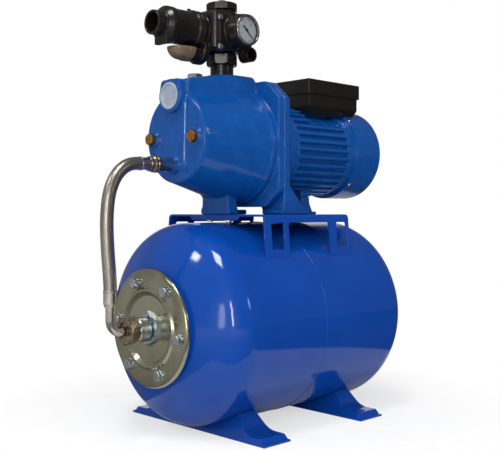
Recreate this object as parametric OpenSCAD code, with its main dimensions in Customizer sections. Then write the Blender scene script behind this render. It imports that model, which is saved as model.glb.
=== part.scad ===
/* [Tank] */
// Outside diameter of the pressure tank
tank_d = 280; // [278:1:282]
// Length of the tank between its two domed ends
tank_l = 427; // [424:1:436]
// Height of the tank's axis above the floor
tank_z = 148; // [147:0.5:149]
// Thickness of the tank's drawn steel shells
tank_wall = 2; // [1.5:0.5:2.5]
// Distance from the flange's face plane back to the welded girth seam
seam_x = 200; // [150:5:240]
// Diameter of the zinc plated flange
flange_d = 160.4; // [160:0.2:163]
// Pitch circle diameter of the flange bolts
flange_pcd = 129; // [127:1:131]

/* [Feet] */
// Distance between the two feet
foot_pitch = 199; // [195:1:205]
// Width of a foot on the floor
foot_w = 50.5; // [48:0.5:56]
// Length of a foot across the tank, over its lips
foot_l = 280; // [276:2:284]
// Distance across the tank between the two bolt holes of a foot
foot_hole_pitch = 244; // [240:1:248]
// Diameter of the bolt holes in the feet
foot_hole_d = 9; // [8:0.5:11]

/* [Pump bracket] */
// Length of the bracket along the tank
bracket_l = 178; // [176:1:180]
// Width of the bracket's top plate
bracket_w = 201; // [198:1:204]
// Height of the bracket's top face above the floor
bracket_z = 299.5; // [299:0.5:301]
// Thickness of the bracket's sheet steel
sheet_t = 3; // [2.5:0.5:3.5]

/* [Pump and motor] */
// Height of the shaft's axis above the floor
pump_z = 396; // [395.5:0.5:397]
// Height of the centre of the pump's round front above the floor
nose_z = 405; // [404:0.5:406]
// Radius of the round front of the pump body
nose_r = 60.5; // [59:0.5:62]
// Outside radius of the fan cover
cover_r = 71.2; // [70.5:0.1:72]
// Number of cooling fins around the motor
fin_count = 34; // [30:2:48]
// Number of vanes in the impeller
vane_count = 6; // [5:1:7]
// Number of blades on the cooling fan
blade_count = 8; // [6:1:10]

/* [Manifold] */
// Distance from the flange's face plane back to the manifold's upright axis
manifold_x = 130; // [129:0.5:131]
// Height of the outlet's axis above the floor
outlet_z = 555.5; // [555:0.5:556]
// Radius of the outlet pipe
outlet_r = 23.7; // [23:0.1:24]
// Height of the gauge's axis above the floor
gauge_z = 555.5; // [555:0.5:556]
// Outside radius of the gauge's bezel
bezel_r = 21.6; // [21:0.1:22.2]

/* [Hose] */
// Outside diameter of the braided hose
hose_d = 17.5; // [17:0.5:18]
// Height of the hose port on the pump above the floor
port_z = 367; // [366:0.5:368]

/* [Hidden] */
$fn = 72;
arc_steps = 5;

tank_blue = "#1d55b8";
casting_blue = "#1c4c9c";
black_plastic = "#1c1a19";
zinc = "#b9b79a";
brass = "#b5813a";
bright_steel = "#c9c9c6";

// Stations are distances along the set, measured back from the face plane of the
// tank flange. The origin is under the middle of the set's overall length.
tank_nose = -6;
nipple_end = -34;
valve_end = 436;
middle = (nipple_end + valve_end) / 2;

crown_ratio = 0.8;
knuckle_ratio = 0.154;
mouth_r = 76;
mouth_bore = 54;
flange_face = -4;
flange_t = 2.5;
lip_t = 2.5;
bolt_count = 6;
feet_mid = 199.5;
bracket_mid = 203;

// Pump and motor stations
nose_x = 43;
pump_flange = [159, 170.5];
bracket_flange = [170.5, 182];
housing = [220, 343];
cover = [353, 415.5];
bearing_x = [195, 343];
bearing_w = 11;
race_r = [7.5, 10.4, 14.2, 17.5];
core = [244, 314];
impeller_x = 148;
suction_z = pump_z + 64.6;
plug_y = 44.5;
plug_z = pump_z + 7.7;

// Terminal box: stations of its ends, half width and the height of its joint
box_x = [264, 379];
box_w = 48;
lid_z = [482, 504];
box_screws = [[272, 40], [272, -40], [371, 40], [371, -40]];

// Manifold heights above the floor, and values of Y toward the gauge
nut_z = [511.5, 526.5];
body_z = [526.5, 590];
front_y = 33;
gauge_seat = 51.5;
dial_y = 50.6;
dial_r = 18.8;
bezel_y = 55.5;
octagon = 43.4;
gland_x = 151;
gland_z = 526;
gland_y = [21.5, 40];
dome_z = 529;
dome_r = 17.5;
dome_x = [34, 66];
dome_top = 528.2;
manifold_screw_places = [[97, 571.8], [97, 531.5]];

// Route of the hose between its two ferrules: station and height
hose_route = [
    [-17, 367], [-25, 366.5], [-33, 365], [-41, 361.5], [-48, 356.5], [-54, 350],
    [-59, 342], [-63, 333], [-66, 322], [-68, 308], [-69, 290], [-68.5, 268],
    [-67, 245], [-65, 222], [-64, 203]];
hose_sides = 12;
elbow_bend = 16;
elbow_x = -64;

function head_depth(d) =
    let (crown = crown_ratio * d, knuckle = knuckle_ratio * d)
    crown - sqrt(pow(crown - knuckle, 2) - pow(d / 2 - knuckle, 2));

// One corner of an outline, rounded to radius r
function corner(a, b, c, r) =
    let (
        u = (a - b) / norm(a - b),
        v = (c - b) / norm(c - b),
        half = acos(u * v) / 2,
        centre = b + (u + v) / norm(u + v) * r / sin(half),
        from = b + u * r / tan(half) - centre,
        to = b + v * r / tan(half) - centre,
        start = atan2(from.y, from.x),
        sweep = (atan2(to.y, to.x) - start + 540) % 360 - 180)
    r == 0 ? [b] : [for (i = [0:arc_steps])
        centre + r * [cos(start + sweep * i / arc_steps), sin(start + sweep * i / arc_steps)]];

// A closed outline with its corners rounded: r is one radius or one for each corner
function rounded(points, r) =
    let (n = len(points))
    [for (i = [0:n - 1]) each corner(points[(i + n - 1) % n], points[i],
        points[(i + 1) % n], is_list(r) ? r[i] : r)];

// The right half of a symmetrical outline joined to its mirror image
function both_sides(half) = concat(half,
    [for (i = [len(half) - 1:-1:0]) [-half[i].x, half[i].y]]);

module at(x, z = 0) {
    translate([x - middle, 0, z]) children();
}

// Turns children's Z axis to point along +X, or toward the gauge's side along -Y
module along_x() {
    rotate([0, 90, 0]) children();
}

module gauge_side() {
    rotate([90, 0, 0]) children();
}

// A solid of revolution about a fore-and-aft axis: profile is [radius, station]
module turned(profile, z = 0) {
    at(0, z) along_x() rotate_extrude() polygon(profile);
}

// An outline in Y and Z drawn from one station to another
module fore_aft(x0, x1, z = 0) {
    at(x0, z) rotate([90, 0, 90]) linear_extrude(x1 - x0) children();
}

// An outline in station and Z drawn between two values of Y
module athwart(y0, y1, z = 0) {
    at(0, z) translate([0, y1, 0]) rotate([90, 0, 0]) linear_extrude(y1 - y0) children();
}

module tube(r, bore, h) {
    difference() {
        cylinder(r = r, h = h);
        translate([0, 0, -1]) cylinder(r = bore, h = h + 2);
    }
}

// A hexagon head with its corners turned off: af is its width across flats
module hex_head(af, h, sides = 6) {
    corner_r = af / 2 / cos(180 / sides);
    intersection() {
        cylinder(r = corner_r, h = h, $fn = sides);
        rotate_extrude() polygon([
            [0, 0], [corner_r + 0.1, 0], [corner_r + 0.1, h - af * 0.06],
            [af / 2 * 0.97, h], [0, h]]);
    }
}

// Half section of a tank with two dished ends, shrunk inward by t
module vessel_section(d, l, t = 0) {
    depth = head_depth(d);
    for (end = [0, 1])
        translate([0, end * l]) mirror([0, end]) dished_end(d, depth, t);
    translate([0, depth]) square([d / 2 - t, l - 2 * depth]);
}

module dished_end(d, depth, t) {
    crown = crown_ratio * d;
    knuckle = knuckle_ratio * d;
    intersection() {
        translate([0, crown]) circle(crown - t, $fn = 180);
        polygon([
            [0, crown],
            [d - 2 * knuckle, 2 * depth - crown],
            [0, 2 * depth - crown]]);
    }
    translate([d / 2 - knuckle, depth]) circle(knuckle - t);
}

module tank_shell_section() {
    difference() {
        vessel_section(tank_d, tank_l);
        vessel_section(tank_d, tank_l, tank_wall);
    }
}

module tank_front_shell() {
    color(tank_blue) at(tank_nose, tank_z) along_x() rotate_extrude($fn = 120) intersection() {
        tank_shell_section();
        translate([mouth_r, 0]) square([tank_d, 40]);
    }
    color(tank_blue) at(tank_nose, tank_z) along_x() rotate_extrude($fn = 120) intersection() {
        tank_shell_section();
        translate([0, 40]) square([tank_d, seam_x - tank_nose - 40]);
    }
}

module tank_rear_shell() {
    valve_bore = 4.2;
    color(tank_blue) at(tank_nose, tank_z) along_x() rotate_extrude($fn = 120) intersection() {
        tank_shell_section();
        translate([valve_bore, seam_x - tank_nose]) square([tank_d, tank_l]);
    }
}

module tank_weld_bead() {
    bead_r = 3;
    bead_rise = 0.7;
    color(tank_blue) at(seam_x, tank_z) along_x() rotate_extrude($fn = 120) difference() {
        translate([tank_d / 2 + bead_rise - bead_r, 0]) circle(bead_r);
        translate([0, -2 * bead_r]) square([tank_d / 2, 4 * bead_r]);
    }
}

// Places children around the bolt circle of the flange, facing forward
module flange_bolt_places() {
    first_angle = 7;
    for (i = [0:bolt_count - 1])
        at(0, tank_z) rotate([first_angle + 60 * i, 0, 0])
            translate([0, flange_pcd / 2, 0]) along_x() children();
}

module tank_mouth_ring() {
    ring_t = 8;
    face = flange_face + flange_t + lip_t;
    color(tank_blue) difference() {
        turned([[mouth_bore, face], [mouth_r, face], [mouth_r, face + ring_t],
            [mouth_bore, face + ring_t]], tank_z);
        flange_bolt_places() translate([0, 0, face - 1]) cylinder(d = 8.1, h = ring_t + 2);
    }
}

module tank_bladder() {
    skin = 2.5;
    bladder_d = 236;
    face = flange_face + flange_t;
    neck = [mouth_bore - 3 - skin, mouth_bore - 3];
    front = 26;
    color("#2a2626") difference() {
        union() {
            at(front, tank_z) along_x() rotate_extrude() difference() {
                vessel_section(bladder_d, 366);
                vessel_section(bladder_d, 366, skin);
                square([neck[0], 40]);
            }
            turned([[neck[0], face], [71, face], [71, face + lip_t], [neck[1], face + lip_t],
                [neck[1], front + 9], [neck[0], front + 9]], tank_z);
        }
        flange_bolt_places() translate([0, 0, face - 1]) cylinder(d = 8.6, h = 8);
    }
}

module tank_flange() {
    rim = flange_d / 2;
    bead = [44.3, 50, 52.5, 55.5];
    face = flange_face;
    crest = face - 3;
    hub = face + 2;
    t = flange_t;
    hub_bore = 13.2;
    color(zinc) difference() {
        turned(rounded([
            [hub_bore, hub], [bead[0], hub], [bead[1], crest], [bead[2], crest], [bead[3], face],
            [73, face], [rim, face + 3], [rim, face + 4.6], [72.5, face + t],
            [bead[3] + 1, face + t], [bead[2] + 0.7, crest + t], [bead[1] + 0.8, crest + t],
            [bead[0] + 0.8, hub + t], [hub_bore, hub + t]],
            [0, 3, 1.5, 1.2, 2, 9, 1, 0.5, 9, 2, 0.5, 0.5, 2, 0]), tank_z);
        flange_bolt_places() translate([0, 0, face - 1]) cylinder(d = 9, h = t + 2);
    }
}

module flange_bolts() {
    washer_t = 1.6;
    head_h = 5.5;
    shank_l = 16;
    color(bright_steel) flange_bolt_places() translate([0, 0, flange_face]) {
        translate([0, 0, -washer_t]) cylinder(d = 16, h = washer_t);
        translate([0, 0, -washer_t]) mirror([0, 0, 1]) hex_head(13, head_h);
        translate([0, 0, -0.5]) cylinder(d = 8, h = shank_l);
    }
}

module air_valve() {
    dome_end = tank_nose + tank_l;
    color(brass) turned([[1.5, dome_end - 8], [7, dome_end - 8], [7, dome_end - 2.6],
        [4.1, dome_end - 2.6], [4.1, dome_end + 10], [3, dome_end + 11], [1.5, dome_end + 11]], tank_z);
}

module air_valve_cap() {
    dome_end = tank_nose + tank_l;
    color(black_plastic) turned(rounded([
        [4.2, dome_end + 1], [8.5, dome_end + 1], [7.5, valve_end],
        [0, valve_end], [0, dome_end + 12], [4.2, dome_end + 12]],
        [0, 0.5, 1.5, 0, 0, 0]), tank_z);
}

// The foot's outline seen along the tank, and its section seen across it
module foot_side(inset) {
    pad = 9.5;
    lip = 3;
    half = rounded([
        [0, -1], [foot_l / 2 - inset, -1], [foot_l / 2 - inset, inset == 0 ? lip : -0.5],
        [foot_l / 2 - 5 - inset, inset == 0 ? lip : -0.5], [foot_l / 2 - 9 - inset, pad - inset],
        [103 - inset * 0.4, pad - inset], [83 - inset, 34], [0, 34]],
        [0, 0, inset == 0 ? 1 : 0, inset == 0 ? 1 : 0, 3, 24, 1, 0]);
    polygon(both_sides(half));
}

module foot_section(inset) {
    crest_w = 29;
    crest = 34;
    polygon([
        [-foot_w / 2 + inset, 0 - inset], [foot_w / 2 - inset, 0 - inset],
        [crest_w / 2 - inset, crest], [-crest_w / 2 + inset, crest]]);
}

module foot_block(x, inset) {
    difference() {
        intersection() {
            fore_aft(x - foot_w / 2, x + foot_w / 2) foot_side(inset);
            translate([x - middle, foot_l / 2, 0]) rotate([90, 0, 0])
                linear_extrude(foot_l) foot_section(inset);
        }
        at(x - foot_w, tank_z) along_x() cylinder(d = tank_d + 2 * inset, h = 2 * foot_w, $fn = 120);
    }
}

module foot(x) {
    color(tank_blue) difference() {
        foot_block(x, 0);
        foot_block(x, sheet_t);
        for (side = [-1, 1])
            translate([x - middle, side * foot_hole_pitch / 2, 0]) cylinder(d = foot_hole_d, h = 20);
    }
}

module front_foot() {
    foot(feet_mid - foot_pitch / 2);
}

module rear_foot() {
    foot(feet_mid + foot_pitch / 2);
}

// The places where the pump's feet are bolted to the bracket: hexagon bolts through the
// motor bracket's feet, and studs up into the pump's foot and the motor's support
pump_bolts = [[203, 64], [203, -64]];
pump_studs = [[125, 20], [125, -20], [279, 23], [279, -23]];
foot_t = 7;

module pump_bolt_places(z) {
    for (p = concat(pump_bolts, pump_studs))
        translate([p[0] - middle, p[1], z]) children();
}

module bracket_sheet() {
    w = bracket_w / 2;
    z = bracket_z;
    splay = 6;
    drop = 65;
    fore_aft(bracket_mid - bracket_l / 2, bracket_mid + bracket_l / 2) polygon(both_sides(rounded([
        [0, z], [w, z], [w + splay, z - drop], [w + splay - sheet_t, z - drop],
        [w - sheet_t, z - sheet_t], [0, z - sheet_t]],
        [0, 4, 0, 0, 1.5, 0])));
}

// The bracket's cut-outs, seen from the side
module bracket_outline() {
    x0 = bracket_mid - bracket_l / 2;
    x1 = bracket_mid + bracket_l / 2;
    top = bracket_z;
    strip = top - 11.3;
    low = 232;
    legs = [47.5, 44.5];
    difference() {
        polygon(rounded([
            [x0, top + 1], [x1, top + 1], [x1, low], [x1 - legs[1], low],
            [x1 - legs[1], strip], [x0 + legs[0], strip], [x0 + legs[0], low], [x0, low]],
            [6, 6, 0, 0, 3, 3, 0, 0]));
        for (window = [[x0 + 13, x0 + 38], [x1 - 28.5, x1 - 6]])
            polygon(rounded([
                [window[0], 252], [window[1], 252], [window[1], 288], [window[0], 288]], 2));
    }
}

module pump_bracket() {
    lip_w = 55;
    lip_h = 8.5;
    color(tank_blue) difference() {
        union() {
            intersection() {
                bracket_sheet();
                athwart(-bracket_w, bracket_w) bracket_outline();
            }
            for (x = [bracket_mid - bracket_l / 2, bracket_mid + bracket_l / 2 - sheet_t])
                fore_aft(x, x + sheet_t) polygon([
                    [-lip_w, bracket_z - 1], [lip_w, bracket_z - 1],
                    [lip_w - 8, bracket_z - lip_h], [8 - lip_w, bracket_z - lip_h]]);
        }
        at(0, tank_z) along_x() cylinder(d = tank_d, h = 400, $fn = 120);
        pump_bolt_places(bracket_z - 10) cylinder(d = 9, h = 20);
    }
}

module tank_nipple() {
    hub = flange_face + 2;
    color(bright_steel) difference() {
        union() {
            turned(rounded([[0, nipple_end], [13.2, nipple_end], [13.2, 15], [0, 15]],
                [0, 1, 0, 0]), tank_z);
            turned(rounded([[0, hub - 25.5], [16.7, hub - 25.5], [16.7, hub - 6], [0, hub - 6]],
                [0, 3.5, 3.5, 0]), tank_z);
            at(hub, tank_z) along_x() mirror([0, 0, 1]) hex_head(41, 5);
        }
        at(nipple_end - 1, tank_z) along_x() cylinder(r = 9.5, h = 80);
    }
}

module elbow_nut() {
    front = -41.5;
    l = 12;
    color("#b3a68e") difference() {
        at(front, tank_z) along_x() rotate([0, 0, 10]) translate([0, 0, l]) mirror([0, 0, 1])
            hex_head(34, l);
        turned([[0, front - 1], [12.6, front - 1], [12.6, front + 1.8], [7.2, front + 1.8],
            [7.2, front + 4], [13.25, front + 4], [13.25, front + l + 1], [0, front + l + 1]], tank_z);
    }
}

module hose_elbow() {
    tube_r = 6.2;
    bore = 5;
    collar = -37.5;
    color(bright_steel) difference() {
        union() {
            turned([[0, collar], [12.4, collar], [12.4, collar + 3.5], [0, collar + 3.5]], tank_z);
            at(elbow_x + elbow_bend, tank_z) along_x()
                cylinder(r = tube_r, h = collar - elbow_x - elbow_bend + 1);
            at(elbow_x + elbow_bend, tank_z + elbow_bend) rotate([90, 0, 0])
                rotate([0, 0, 180]) rotate_extrude(angle = 90)
                    translate([elbow_bend, 0]) circle(tube_r);
            at(elbow_x, tank_z + elbow_bend) cylinder(r = tube_r, h = 203 - tank_z - elbow_bend);
        }
        at(elbow_x + elbow_bend, tank_z) along_x() cylinder(r = bore, h = 30);
        at(elbow_x + elbow_bend, tank_z + elbow_bend) rotate([90, 0, 0])
            rotate([0, 0, 180]) rotate_extrude(angle = 90)
                translate([elbow_bend, 0]) circle(bore);
        at(elbow_x, tank_z + elbow_bend) cylinder(r = bore, h = 80);
    }
}

module lower_ferrule() {
    color(bright_steel) at(elbow_x, 0) rotate_extrude() polygon(rounded([
        [6.2, 181], [8, 181], [8, 184], [8.9, 185], [8.9, 200], [9.3, 201], [9.3, 203], [6.2, 203]],
        [0, 0.6, 0.3, 0.3, 0.3, 0.3, 0.6, 0]));
}

function hose_direction(i) =
    let (n = len(hose_route) - 1,
        a = hose_route[max(i - 1, 0)],
        b = hose_route[min(i + 1, n)])
    i == 0 ? [-1, 0] : i == n ? [0, -1] : (b - a) / norm(b - a);

module braided_hose() {
    n = len(hose_route);
    rings = [for (i = [0:n - 1], k = [0:hose_sides - 1])
        let (turn = 360 * k / hose_sides, out = [-hose_direction(i).y, hose_direction(i).x])
        [hose_route[i].x - middle + out.x * cos(turn) * hose_d / 2,
            sin(turn) * hose_d / 2,
            hose_route[i].y + out.y * cos(turn) * hose_d / 2]];
    sides = [for (i = [0:n - 2], k = [0:hose_sides - 1])
        let (next = (k + 1) % hose_sides)
        [i * hose_sides + k, i * hose_sides + next, (i + 1) * hose_sides + next, (i + 1) * hose_sides + k]];
    start = [for (k = [hose_sides - 1:-1:0]) k];
    end = [for (k = [0:hose_sides - 1]) (n - 1) * hose_sides + k];
    color("#a39a8c") polyhedron(rings, concat([start], sides, [end]));
}

module upper_ferrule() {
    color(bright_steel) turned(rounded([
        [5, -17], [9.3, -17], [9.3, -14.5], [8.4, -13.5], [8.4, -3], [5, -3]],
        [0, 0.6, 0.4, 0.4, 0.6, 0]), port_z);
}

module hose_nut() {
    color(bright_steel) turned(rounded([
        [5, -3], [10, -3], [10, 0.5], [8.8, 1.5], [8.8, 2.5], [11.3, 4], [11.3, 7],
        [10.6, 7.5], [11.6, 8.5], [11.6, 12], [9.9, 12], [9.9, 7], [5, 7]],
        [0, 1, 0.8, 0, 0, 1, 0.8, 0, 0.8, 1, 0, 0, 0]), port_z);
}

module pump_nipple() {
    color(bright_steel) turned([[7, 7], [9.9, 7], [9.9, 60], [7, 60]], port_z);
}

// Outline of the two bolted flanges, measured from the shaft's axis
flange_outline = both_sides(rounded([
    [0, 91.5], [58, 91.5], [85.5, 67], [85.5, -63], [60, -86], [0, -86]], [0, 6, 6, 8, 8, 0]));
flange_screw_places = [[66, 66], [-66, 66], [66, -60], [-66, -60]];

// The hood over the barrel carries the discharge port: inset draws the hollow in it
module hood_block(inset) {
    intersection() {
        fore_aft(45, 162, pump_z) polygon(both_sides(rounded([
            [0, 101 - inset], [34 - inset, 101 - inset], [41 - inset, 80], [42 - inset, 0], [0, 0]],
            [0, 14, 20, 0, 0])));
        athwart(-70, 70, pump_z) polygon(rounded([
            [45 + inset, 0], [45 + inset, 87.5 - inset], [82, 94 - inset],
            [122, 99.5 - inset], [162 - inset, 100.5 - inset], [162 - inset, 0]],
            [0, 6, 30, 60, 0, 0]));
        at(0, pump_z) linear_extrude(110) polygon([
            [44, -24 + inset], [164, -41 + inset], [164, 41 - inset], [44, 24 - inset]]);
    }
}

// The barrel widens backward from the round front and dips to the shaft's axis
module barrel() {
    fall = nose_z - pump_z;
    run = pump_flange[0] - nose_x;
    dip = atan(fall / run);
    turned(rounded([[0, nose_x], [nose_r, nose_x], [nose_r + 2, nose_x + 8], [0, nose_x + 8]],
        [0, 3, 0, 0]), nose_z);
    at(nose_x, nose_z) rotate([0, 90 + dip, 0]) rotate_extrude() polygon([
        [0, 6], [nose_r + 1.6, 6], [82.5, 108], [82.5, 117], [0, 117]]);
    turned(rounded([[0, 148], [82.5, 148], [84.5, 151], [84.5, 160], [0, 160]],
        [0, 1.5, 1.5, 0, 0]), pump_z);
}

module pump_body_outside() {
    barrel();
    hood_block(0);
    fore_aft(pump_flange[0], pump_flange[1], pump_z) polygon(flange_outline);
    // Raised band that joins the suction boss to the hose port
    fore_aft(40.5, nose_x + 4, pump_z) polygon(rounded([
        [-20, -38], [20, -38], [23.5, 66], [-23.5, 66]], [14, 14, 4, 4]));
    // Suction boss with its squared shoulders under the hood
    turned(rounded([[0, 33], [23, 33], [23.5, 60], [0, 60]], [0, 2, 0, 0]), suction_z);
    fore_aft(34, 60, pump_z) polygon(both_sides(rounded([
        [0, 60], [22.5, 60], [20.5, 87], [0, 87]], [0, 0, 7, 0])));
    turned(rounded([[0, 35], [11.4, 35], [12.5, nose_x + 4], [0, nose_x + 4]], [0, 1, 0, 0]), port_z);
    for (side = [-1, 1])
        translate([0, side * plug_y, 0])
            turned(rounded([[0, 39], [10.5, 39], [11.5, nose_x + 3], [0, nose_x + 3]], [0, 1.5, 0, 0]), plug_z);
    // Discharge boss
    at(manifold_x, pump_z + 70) cylinder(r = 24, h = 30.5);
    // Front foot under the barrel
    fore_aft(116, 134, bracket_z) polygon(both_sides(rounded([
        [0, 0], [30, 0], [30, 6], [27, 12], [26, 50], [0, 50]], [0, 2, 3, 4, 0, 0])));
}

module pump_body() {
    z = pump_z;
    color(casting_blue) difference() {
        union() {
            difference() {
                pump_body_outside();
                // Suction chamber, and the pressure chamber behind its wall
                turned([[0, 50], [52.5, 50], [55, 68], [0, 68]], nose_z);
                turned([[0, 76], [57, 76], [63, 94], [74, 150], [74, 173], [0, 173]], z);
                intersection() {
                    hood_block(7);
                    at(76, z) translate([0, -80, 0]) cube([90, 160, 200]);
                }
            }
            // Passage from the hose port through the suction chamber
            at(48, port_z) along_x() cylinder(r = 14, h = 28);
        }
        at(32, suction_z) along_x() cylinder(r = 16.7, h = 32);
        at(60, z) along_x() cylinder(r = 14, h = 20);
        at(30, port_z) along_x() cylinder(r = 9.9, h = 30);
        at(59, port_z) along_x() cylinder(r = 7, h = 24);
        at(manifold_x, z + 70) cylinder(r = 16.65, h = 60);
        at(79, z + 60) cylinder(r = 6.1, h = 60);
        at(79, z + 91.5) cylinder(r = 12, h = 20);
        for (side = [-1, 1])
            translate([0, side * plug_y, 0]) at(38, plug_z) along_x() cylinder(r = 6.1, h = 20);
        for (p = flange_screw_places)
            translate([0, p[0], p[1]]) at(162, z) along_x() cylinder(r = 4.05, h = 20);
        for (p = pump_studs)
            translate([p[0] - middle, p[1], bracket_z - 5]) cylinder(r = 4.05, h = 22);
    }
}

module suction_cap() {
    color("#c3c8cb") turned(rounded([
        [0, 33.6], [14.5, 33.6], [15, 31.6], [18.4, 31.6], [18.4, 33], [16.6, 33],
        [16.6, 46], [14.8, 46], [14.8, 36], [0, 36]],
        [0, 0.8, 0.5, 0.8, 0, 0, 0, 0, 0, 0]), suction_z);
}

module brass_plugs() {
    color(brass) for (side = [-1, 1])
        translate([0, side * plug_y, 0]) at(39, plug_z) along_x() {
            mirror([0, 0, 1]) hex_head(15, 7);
            cylinder(r = 6, h = 11);
        }
}

module priming_plug() {
    color(bright_steel) at(79, pump_z + 91.5) {
        hex_head(19, 7);
        translate([0, 0, -12]) cylinder(r = 6, h = 13);
    }
}

module ejector() {
    color("#3a3a3d") turned(rounded([
        [6, 62], [13.9, 62], [13.9, 76], [20, 76], [20, 79], [11, 82], [11, 104], [9, 112],
        [12, 132], [16.8, 139], [16.8, 145], [13, 145], [8, 130], [5.5, 110], [9, 96], [9, 80]],
        [0, 0.5, 0, 1, 1, 0, 2, 2, 6, 2, 0, 0, 4, 6, 2, 0]), pump_z);
}

module diffuser() {
    end = pump_flange[1];
    color("#4a4a4e") {
        turned([[16.85, 139], [66, 139], [73.9, 152], [73.9, end], [70, end], [70, 152],
            [64, 145], [16.85, 145]], pump_z);
        for (i = [0:8])
            at(144.5, pump_z) along_x() rotate([0, 0, i * 40]) translate([0, 62, 0])
                rotate([0, 0, 55]) translate([-6, -1, 0]) cube([13, 2, 14.5]);
    }
}

module impeller() {
    r = 54;
    eye_r = 15;
    color("#b98f4a") at(impeller_x, pump_z) along_x() {
        translate([0, 0, 9]) tube(r, 6, 3);
        tube(r, eye_r, 2.5);
        tube(10, 6, 12);
        translate([0, 0, 2]) linear_extrude(7.5) for (i = [0:vane_count - 1])
            rotate(i * 360 / vane_count) intersection() {
                difference() {
                    translate([30, 12]) circle(27);
                    translate([30, 12]) circle(24.6);
                }
                difference() {
                    circle(r - 0.5);
                    circle(eye_r + 2);
                }
                translate([0, 12]) square([70, 60]);
            }
    }
}

module shaft_seal() {
    color("#57524c") turned(rounded([
        [6.06, 163], [11, 163], [11, 171], [13.9, 171], [13.9, 179], [6.06, 179]],
        [0, 1, 0, 0, 0, 0]), pump_z);
}

// Upright web, foot pad and the gusset behind it
module motor_bracket_leg(side) {
    rear = bracket_flange[1];
    mirror([0, side, 0]) {
        fore_aft(bracket_flange[0], rear) polygon(rounded([
            [43, bracket_z], [85, bracket_z], [85, pump_z - 40], [30, pump_z - 60]], [2, 2, 0, 0]));
        translate([168 - middle, 43, bracket_z]) cube([54, 42, foot_t]);
        athwart(79, 85) polygon([
            [rear - 1, bracket_z], [216, bracket_z], [216, bracket_z + 5], [rear - 1, bracket_z + 42]]);
    }
}

module motor_bracket() {
    z = pump_z;
    seat = bearing_x[0];
    end = housing[0];
    color(casting_blue) difference() {
        union() {
            fore_aft(bracket_flange[0], bracket_flange[1], z) polygon(flange_outline);
            turned(rounded([[0, 181], [72, 181], [67, 192], [66, end], [0, end]],
                [0, 0, 6, 1, 0]), z);
            for (side = [0, 1])
                motor_bracket_leg(side);
        }
        turned([[0, 170], [14, 170], [14, 179], [9.5, 179], [9.5, seat],
            [race_r[3], seat], [race_r[3], seat + bearing_w],
            [22, seat + bearing_w], [22, end + 1], [0, end + 1]], z);
        turned([[23, 190], [58, 190], [58, end + 1], [23, end + 1]], z);
        for (p = flange_screw_places)
            translate([0, p[0], p[1]]) at(165, z) along_x() cylinder(r = 4.5, h = 30);
        for (p = pump_bolts)
            translate([p[0] - middle, p[1], bracket_z - 5]) cylinder(r = 4.5, h = 20);
    }
}

module flange_screws() {
    color(bright_steel) for (p = flange_screw_places)
        translate([0, p[0], p[1]]) at(bracket_flange[1], pump_z) along_x() {
            hex_head(13, 5.5);
            translate([0, 0, -19]) cylinder(r = 4, h = 19.5);
        }
}

module pump_foot_bolts() {
    color(bright_steel) {
        for (p = pump_bolts)
            translate([p[0] - middle, p[1], bracket_z]) {
                translate([0, 0, foot_t]) hex_head(13, 5.3);
                translate([0, 0, -11]) cylinder(r = 4, h = foot_t + 11.5);
            }
        for (p = pump_studs)
            translate([p[0] - middle, p[1], bracket_z - 11]) cylinder(r = 4, h = 27);
    }
}

module pump_foot_nuts() {
    color(bright_steel) pump_bolt_places(bracket_z - sheet_t) difference() {
        mirror([0, 0, 1]) hex_head(13, 6.5);
        translate([0, 0, -8]) cylinder(r = 4.05, h = 9);
    }
}

module motor_shaft() {
    seat = bearing_x[1];
    color("#c4c6c8") turned(rounded([
        [0, 146], [6, 146], [6, 182], [7.5, 182], [7.5, 214], [11, 214], [11, seat - 8],
        [7.5, seat - 8], [7.5, seat + 16], [6, seat + 16], [6, 401], [0, 401]],
        [0, 1, 0, 0, 0, 0, 0, 0, 0, 0, 1, 0]), pump_z);
}

module bearing_races(inner) {
    groove_r = 3.3;
    mid_r = (race_r[1] + race_r[2]) / 2;
    for (x = bearing_x)
        at(x, pump_z) along_x() rotate_extrude() difference() {
            translate([inner ? race_r[0] : race_r[2] - 0.9, 0])
                square([race_r[1] - race_r[0] + 0.9, bearing_w]);
            translate([mid_r, bearing_w / 2]) circle(groove_r);
        }
}

module bearing_outer_races() {
    color("#bfc2c4") bearing_races(false);
}

module bearing_inner_races() {
    color("#bfc2c4") bearing_races(true);
}

module bearing_balls() {
    ball_r = 3.2;
    mid_r = (race_r[1] + race_r[2]) / 2;
    color("#d8dadb") for (x = bearing_x, i = [0:7])
        at(x + bearing_w / 2, pump_z) rotate([45 * i, 0, 0]) translate([0, mid_r, 0])
            sphere(r = ball_r, $fn = 24);
}

module rotor_core() {
    color("#8b8d8f") turned([[11, core[0]], [31, core[0]], [31, core[1]], [11, core[1]]], pump_z);
    color("#b9bcbe") for (x = [core[0] - 6, core[1]])
        turned([[18, x], [29, x], [29, x + 6], [18, x + 6]], pump_z);
}

module stator_core() {
    color("#777a7c") turned([[31.6, core[0]], [54.5, core[0]], [54.5, core[1]], [31.6, core[1]]], pump_z);
}

module stator_windings() {
    color("#a5602c") for (x = [core[0] - 17, core[1]])
        turned(rounded([[34, x], [51, x], [51, x + 17], [34, x + 17]], 4), pump_z);
}

root_r = 60.5;
tip_r = 67;

module fin_profile() {
    pitch = 360 / fin_count;
    polygon([for (i = [0:fin_count - 1], step = [[-0.30, root_r], [-0.19, tip_r], [0.19, tip_r], [0.30, root_r]])
        step[1] * [cos((i + step[0]) * pitch), sin((i + step[0]) * pitch)]]);
}

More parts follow.
